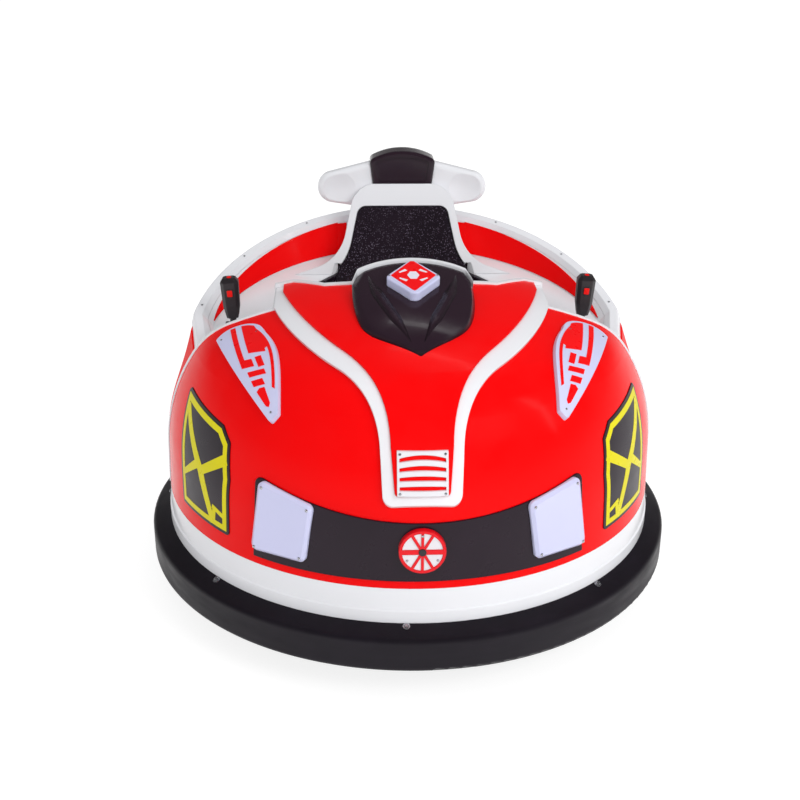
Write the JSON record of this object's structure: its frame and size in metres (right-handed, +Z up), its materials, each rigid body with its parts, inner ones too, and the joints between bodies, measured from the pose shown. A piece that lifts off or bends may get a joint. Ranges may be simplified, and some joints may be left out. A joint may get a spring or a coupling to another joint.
{
  "type": "bumper car",
  "caption": "Round bumper car with a rubber ring, domed hood, raised rear tub, bucket seat with headrest and two sticks.",
  "frame": {"origin": "on the floor under the middle of the bumper ring", "axes": "+Z up, -Y to the front, +X to the driver's left as the driver faces -Y"},
  "size_m": [1.3, 1.3, 0.969],
  "materials": {
    "bumper_rubber": "satin moulded rubber",
    "chassis_paint": "powder coat",
    "white_gelcoat": "gloss gel coat",
    "red_gelcoat": "gloss gel coat",
    "black_gloss": "gloss",
    "milk_lens": "milky acrylic",
    "black_satin": "satin",
    "disc_face": "gloss",
    "white_plate": "gloss",
    "seat_black": "gloss with fine flecks",
    "mat_rubber": "ribbed",
    "battery_case": "moulded case",
    "motor_paint": "satin paint",
    "zinc_steel": "zinc plate",
    "grip_black": "satin",
    "hub_alloy": "cast",
    "wheel_tyre": "solid rubber"
  },
  "bodies": {
    "root": {"bumper_ring": "bumper_rubber", "chassis_band": "chassis_paint", "deck_plate": "chassis_paint", "skirt_ring": "white_gelcoat", "hood_shell": "red_gelcoat", "hood_stripe": "white_gelcoat", "hood_centre": "red_gelcoat", "console_pod": "black_gloss", "console_lamp": "milk_lens", "dash_trim": "white_gelcoat", "lamp_band": "black_satin", "headlamps": "milk_lens", "disc_lamp": "disc_face", "grille_plate": "white_plate", "fin_lamps": "milk_lens", "side_panels": "black_satin", "rear_shell": "red_gelcoat", "rim_trim": "white_gelcoat", "cockpit_tub": "white_gelcoat", "bulkheads": "white_gelcoat", "inner_panels": "red_gelcoat", "seat_box": "black_satin", "seat_lining": "seat_black", "seat_cushion": "seat_black", "seat_back": "seat_black", "seat_frame": "white_gelcoat", "headrest_pad": "black_gloss", "head_wings": "white_gelcoat", "foot_mat": "mat_rubber", "battery": "battery_case", "drive_motors": "motor_paint", "caster_mounts": "zinc_steel", "stick_bases": "black_satin"},
    "drive_wheel_left": {"drive_hub_left": "hub_alloy", "drive_tyre_left": "wheel_tyre"},
    "drive_wheel_right": {"drive_hub_right": "hub_alloy", "drive_tyre_right": "wheel_tyre"},
    "caster_swivel_front": {"caster_fork_front": "zinc_steel"},
    "caster_wheel_front": {"caster_hub_front": "hub_alloy", "caster_tyre_front": "wheel_tyre"},
    "caster_swivel_rear": {"caster_fork_rear": "zinc_steel"},
    "caster_wheel_rear": {"caster_hub_rear": "hub_alloy", "caster_tyre_rear": "wheel_tyre"},
    "stick_body_left": {"stick_left": "grip_black"},
    "stick_body_right": {"stick_right": "grip_black"}
  },
  "joints": [
    {"name": "drive_spin_left", "type": "hinge", "parent": "root", "child": "drive_wheel_left", "pos_m": [-0.44, 0, 0.11], "axis": [1, 0, 0], "continuous": true},
    {"name": "drive_spin_right", "type": "hinge", "parent": "root", "child": "drive_wheel_right", "pos_m": [0.44, 0, 0.11], "axis": [1, 0, 0], "continuous": true},
    {"name": "caster_turn_front", "type": "hinge", "parent": "root", "child": "caster_swivel_front", "pos_m": [0, -0.42, 0.138], "axis": [0, 0, 1], "continuous": true},
    {"name": "caster_spin_front", "type": "hinge", "parent": "caster_swivel_front", "child": "caster_wheel_front", "pos_m": [0, -0.38, 0.0625], "axis": [1, 0, 0], "continuous": true},
    {"name": "caster_turn_rear", "type": "hinge", "parent": "root", "child": "caster_swivel_rear", "pos_m": [0, 0.42, 0.138], "axis": [0, 0, 1], "continuous": true},
    {"name": "caster_spin_rear", "type": "hinge", "parent": "caster_swivel_rear", "child": "caster_wheel_rear", "pos_m": [0, 0.46, 0.0625], "axis": [1, 0, 0], "continuous": true},
    {"name": "stick_left_push", "type": "hinge", "parent": "root", "child": "stick_body_left", "pos_m": [-0.432, 0.05, 0.619], "axis": [1, 0, 0], "range_deg": [-20, 20], "stiffness_Nm_per_rad": 2},
    {"name": "stick_right_push", "type": "hinge", "parent": "root", "child": "stick_body_right", "pos_m": [0.432, 0.05, 0.619], "axis": [1, 0, 0], "range_deg": [-20, 20], "stiffness_Nm_per_rad": 2}
  ]
}
